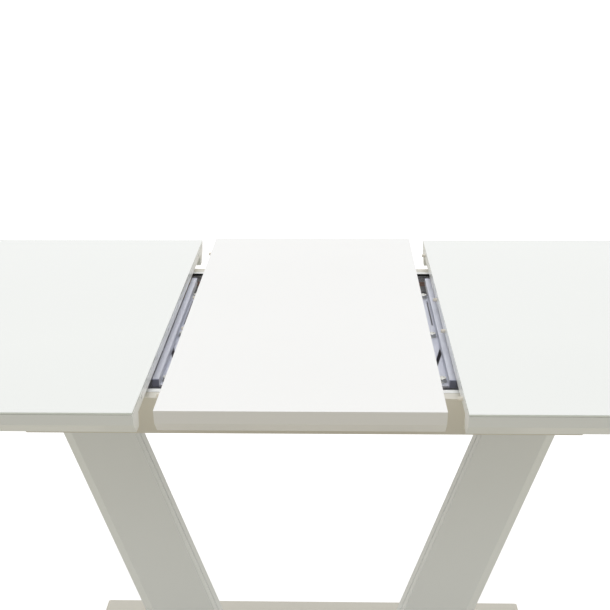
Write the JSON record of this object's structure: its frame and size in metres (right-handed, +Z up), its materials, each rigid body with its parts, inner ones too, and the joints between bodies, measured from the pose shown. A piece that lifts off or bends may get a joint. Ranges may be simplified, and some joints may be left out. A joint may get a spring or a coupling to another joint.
{
  "type": "extendable dining table",
  "caption": "Rectangular dining table whose two half tops slide apart for a loose centre leaf, on leaning legs that meet a flat base.",
  "frame": {"origin": "on the floor at the centre of the table", "axes": "+X along the table towards the right half top, +Z up, -Y the front"},
  "size_m": [2.057, 0.9, 0.76],
  "materials": {
    "glass_white": "back-lacquered, polished",
    "lacquer_half": "smooth white lacquer on board",
    "lacquer_leaf": "smooth white lacquer on board",
    "lacquer_frame": "smooth off-white lacquer on board",
    "bare_board": "bare plywood",
    "dark_board": "dark film-faced plywood",
    "dowel_wood": "bare beech",
    "zinc": "bright zinc plating",
    "slide_steel": "black coated steel",
    "slide_bright": "bright zinc plating",
    "black_steel": "black powder coat",
    "dark_plastic": "moulded",
    "white_plastic": "moulded"
  },
  "bodies": {
    "frame": {"apron_back": "lacquer_frame", "apron_front": "lacquer_frame", "base_plate": "lacquer_frame", "cross_bar_caps": "dark_plastic", "cross_bar_left": "zinc", "cross_bar_right": "zinc", "floor_glides": "dark_plastic", "frame_board_centre": "dark_board", "frame_board_left": "dark_board", "frame_board_right": "dark_board", "left_back_slide_outer": "slide_steel", "left_front_slide_outer": "slide_steel", "leg_beam": "black_steel", "leg_bolts": "black_steel", "leg_left_back_shell": "lacquer_frame", "leg_left_core": "black_steel", "leg_left_front_shell": "lacquer_frame", "leg_right_back_shell": "lacquer_frame", "leg_right_core": "black_steel", "leg_right_front_shell": "lacquer_frame", "plate_bolts": "zinc", "plate_posts": "zinc", "right_back_slide_outer": "slide_steel", "right_front_slide_outer": "slide_steel", "sync_pinion_pin": "zinc", "sync_plate_left": "zinc", "sync_plate_right": "zinc", "sync_rack_guides": "white_plastic"},
    "right_top": {"right_back_runner": "bare_board", "right_back_slide_inner": "slide_bright", "right_front_runner": "bare_board", "right_front_slide_inner": "slide_bright", "right_top_back_rim": "lacquer_half", "right_top_dowels": "dowel_wood", "right_top_end_rim": "lacquer_half", "right_top_front_rim": "lacquer_half", "right_top_glass": "glass_white", "right_top_panel": "lacquer_half", "sync_rack_right": "zinc"},
    "left_top": {"left_back_runner": "bare_board", "left_back_slide_inner": "slide_bright", "left_front_runner": "bare_board", "left_front_slide_inner": "slide_bright", "left_top_back_rim": "lacquer_half", "left_top_end_rim": "lacquer_half", "left_top_front_rim": "lacquer_half", "left_top_glass": "glass_white", "left_top_panel": "lacquer_half", "sync_rack_left": "zinc"},
    "right_slide_middle": {"right_back_slide_middle": "slide_bright", "right_front_slide_middle": "slide_bright"},
    "left_slide_middle": {"left_back_slide_middle": "slide_bright", "left_front_slide_middle": "slide_bright"},
    "sync_pinion": {"sync_pinion": "white_plastic"},
    "leaf": {"leaf_back_batten": "bare_board", "leaf_back_rim": "lacquer_leaf", "leaf_dowels": "dowel_wood", "leaf_front_batten": "bare_board", "leaf_front_rim": "lacquer_leaf", "leaf_panel": "lacquer_leaf"}
  },
  "joints": [
    {"name": "right_top_slide", "type": "slide", "parent": "frame", "child": "right_top", "axis": [1, 0, 0], "range_m": [-0.2285, 0]},
    {"name": "left_top_slide", "type": "slide", "parent": "frame", "child": "left_top", "axis": [-1, 0, 0], "range_m": [-0.2285, 0]},
    {"name": "right_middle_slide", "type": "slide", "parent": "frame", "child": "right_slide_middle", "axis": [1, 0, 0], "range_m": [-0.11425, 0]},
    {"name": "left_middle_slide", "type": "slide", "parent": "frame", "child": "left_slide_middle", "axis": [-1, 0, 0], "range_m": [-0.11425, 0]},
    {"name": "sync_pinion_spin", "type": "hinge", "parent": "frame", "child": "sync_pinion", "pos_m": [0, 0, 0.703], "axis": [0, 0, 1], "range_deg": [0, 327.5]},
    {"name": "leaf_lift", "type": "slide", "parent": "frame", "child": "leaf", "axis": [0, 0, 1], "range_m": [0, 0.343]}
  ],
  "couplings": [
    {"joint": "left_top_slide", "follows": "right_top_slide", "ratio": 1},
    {"joint": "right_middle_slide", "follows": "right_top_slide", "ratio": 0.5},
    {"joint": "left_middle_slide", "follows": "right_top_slide", "ratio": 0.5},
    {"joint": "sync_pinion_spin", "follows": "right_top_slide", "rad_per_m": -25},
    {"joint": "leaf_lift", "follows": "right_top_slide", "ratio": -1.5}
  ]
}
